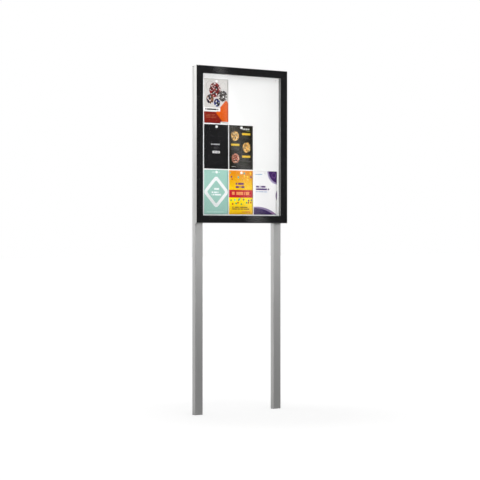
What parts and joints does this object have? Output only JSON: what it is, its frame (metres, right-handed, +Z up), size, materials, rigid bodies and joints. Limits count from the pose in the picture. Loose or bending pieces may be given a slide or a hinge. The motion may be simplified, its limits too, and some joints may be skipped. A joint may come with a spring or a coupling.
{
  "type": "lockable notice board",
  "caption": "Free-standing outdoor notice board: a glazed side-hinged door locks over a white magnetic panel in a shallow metal casing, carried on two flat posts.",
  "frame": {"origin": "on the ground, midway between the posts and midway between the board's front face and the posts' backs", "axes": "+X to the board's right as seen from the front, +Y from the front to the back, +Z up"},
  "size_m": [0.8015, 0.076, 2.32],
  "materials": {
    "anodised_aluminium": "satin natural anodised, with fine lengthwise extrusion lines",
    "mill_aluminium": "plain mill finish",
    "zinc_plated_steel": "bright zinc plated",
    "stainless_steel": "fine turned",
    "lock_chrome": "polished plating",
    "white_enamel": "smooth gloss white enamel on sheet steel",
    "clear_glass": "clear toughened float glass, polished edges",
    "black_border": "opaque black, seen glossy through the glass",
    "black_rubber": "closed-cell seal",
    "dark_plastic": "fine moulded grain",
    "white_nylon": "smooth moulded",
    "white_magnet": "smooth moulded white cap",
    "print_1": "printed, satin",
    "print_2": "printed, satin",
    "print_3": "printed, satin",
    "print_4": "printed, satin",
    "print_5": "printed, satin",
    "print_6": "printed, satin"
  },
  "bodies": {
    "casing": {"back_panel": "white_enamel", "casing_bottom": "anodised_aluminium", "casing_corner_cleats": "mill_aluminium", "casing_left": "anodised_aluminium", "casing_right": "anodised_aluminium", "casing_rivets": "mill_aluminium", "casing_top": "anodised_aluminium", "door_seal": "black_rubber", "hinge_bush_bottom": "white_nylon", "hinge_bush_top": "white_nylon", "liner_bottom": "anodised_aluminium", "liner_left": "anodised_aluminium", "liner_right": "anodised_aluminium", "liner_top": "anodised_aluminium", "lock_lower_barrel": "lock_chrome", "lock_lower_nut": "lock_chrome", "lock_upper_barrel": "lock_chrome", "lock_upper_nut": "lock_chrome", "magnets": "white_magnet", "panel_brackets": "zinc_plated_steel", "panel_screws": "stainless_steel", "post_bolts": "zinc_plated_steel", "post_cap_left": "dark_plastic", "post_cap_right": "dark_plastic", "post_foot_left": "dark_plastic", "post_foot_right": "dark_plastic", "post_left": "anodised_aluminium", "post_right": "anodised_aluminium", "post_rivet_nuts": "zinc_plated_steel", "post_washers": "zinc_plated_steel", "rear_cover": "anodised_aluminium", "sheet_1": "print_1", "sheet_2": "print_2", "sheet_3": "print_3", "sheet_4": "print_4", "sheet_5": "print_5", "sheet_6": "print_6"},
    "door": {"door_glass": "clear_glass", "border_mask": "black_border", "door_stile_left": "anodised_aluminium", "door_stile_right": "anodised_aluminium", "door_rail_top": "anodised_aluminium", "door_rail_bottom": "anodised_aluminium", "door_corner_cleats": "mill_aluminium", "hinge_block_top": "mill_aluminium", "hinge_block_bottom": "mill_aluminium", "hinge_pin_top": "stainless_steel", "hinge_pin_bottom": "stainless_steel", "hinge_screws": "stainless_steel", "lock_catch_upper": "zinc_plated_steel", "lock_catch_lower": "zinc_plated_steel", "catch_screws": "zinc_plated_steel"},
    "lock_upper": {"lock_upper_plug": "lock_chrome", "lock_upper_cam": "zinc_plated_steel", "lock_upper_screw": "zinc_plated_steel"},
    "lock_lower": {"lock_lower_plug": "lock_chrome", "lock_lower_cam": "zinc_plated_steel", "lock_lower_screw": "zinc_plated_steel"}
  },
  "joints": [
    {"name": "door_hinge", "type": "hinge", "parent": "casing", "child": "door", "pos_m": [-0.383, -0.0297, 1.7975], "axis": [0, 0, -1], "range_deg": [0, 115]},
    {"name": "lock_upper_turn", "type": "hinge", "parent": "casing", "child": "lock_upper", "pos_m": [0.39, -0.02375, 2.09], "axis": [1, 0, 0], "range_deg": [0, 90]},
    {"name": "lock_lower_turn", "type": "hinge", "parent": "casing", "child": "lock_lower", "pos_m": [0.39, -0.02375, 1.505], "axis": [1, 0, 0], "range_deg": [0, 90]}
  ]
}
